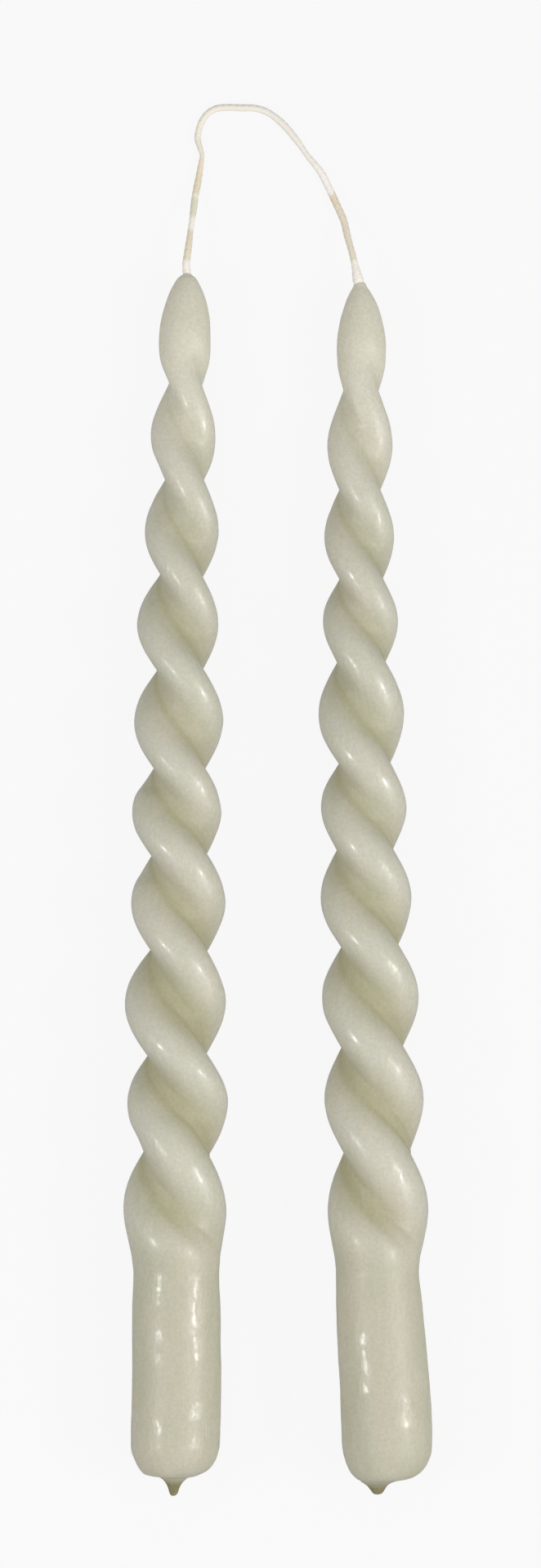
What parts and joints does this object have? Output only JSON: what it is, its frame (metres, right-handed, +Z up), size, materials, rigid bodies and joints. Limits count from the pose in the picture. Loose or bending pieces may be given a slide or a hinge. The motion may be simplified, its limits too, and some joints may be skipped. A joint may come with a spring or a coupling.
{
  "type": "taper candle",
  "caption": "Hand-dipped taper candles, rolled flat and twisted above a round base, still joined at the tips by their uncut wick.",
  "frame": {"origin": "on the table, under the middle of the two candles as they lie side by side, measured without the loop of wick", "axes": "+Y from the lower ends towards the wax tips, +Z up off the table, +X to the right as seen from above with the tips away"},
  "size_m": [0.0771, 0.3473, 0.0265],
  "materials": {
    "dyed_wax": "satin, slightly translucent sage grey candle wax, greener in the grooves",
    "white_wax": "plain white candle wax",
    "wick_cotton": "braided cream cotton primed with wax"
  },
  "bodies": {
    "wick_loop": {"wick_loop": "wick_cotton"},
    "left_candle": {"left_dyed_overdip": "dyed_wax", "left_wax_core": "white_wax", "left_wick_in_wax": "wick_cotton"},
    "right_candle": {"right_dyed_overdip": "dyed_wax", "right_wax_core": "white_wax", "right_wick_in_wax": "wick_cotton"}
  },
  "joints": [
    {"name": "left_wick_bend", "type": "hinge", "parent": "wick_loop", "child": "left_candle", "pos_m": [-0.02325, 0.1534, 0.00655], "axis": [0, 0, -1], "range_deg": [-2.75, 90]},
    {"name": "right_wick_bend", "type": "hinge", "parent": "wick_loop", "child": "right_candle", "pos_m": [0.01935, 0.1513, 0.00634], "axis": [0, 0, 1], "range_deg": [-2.75, 90]}
  ]
}
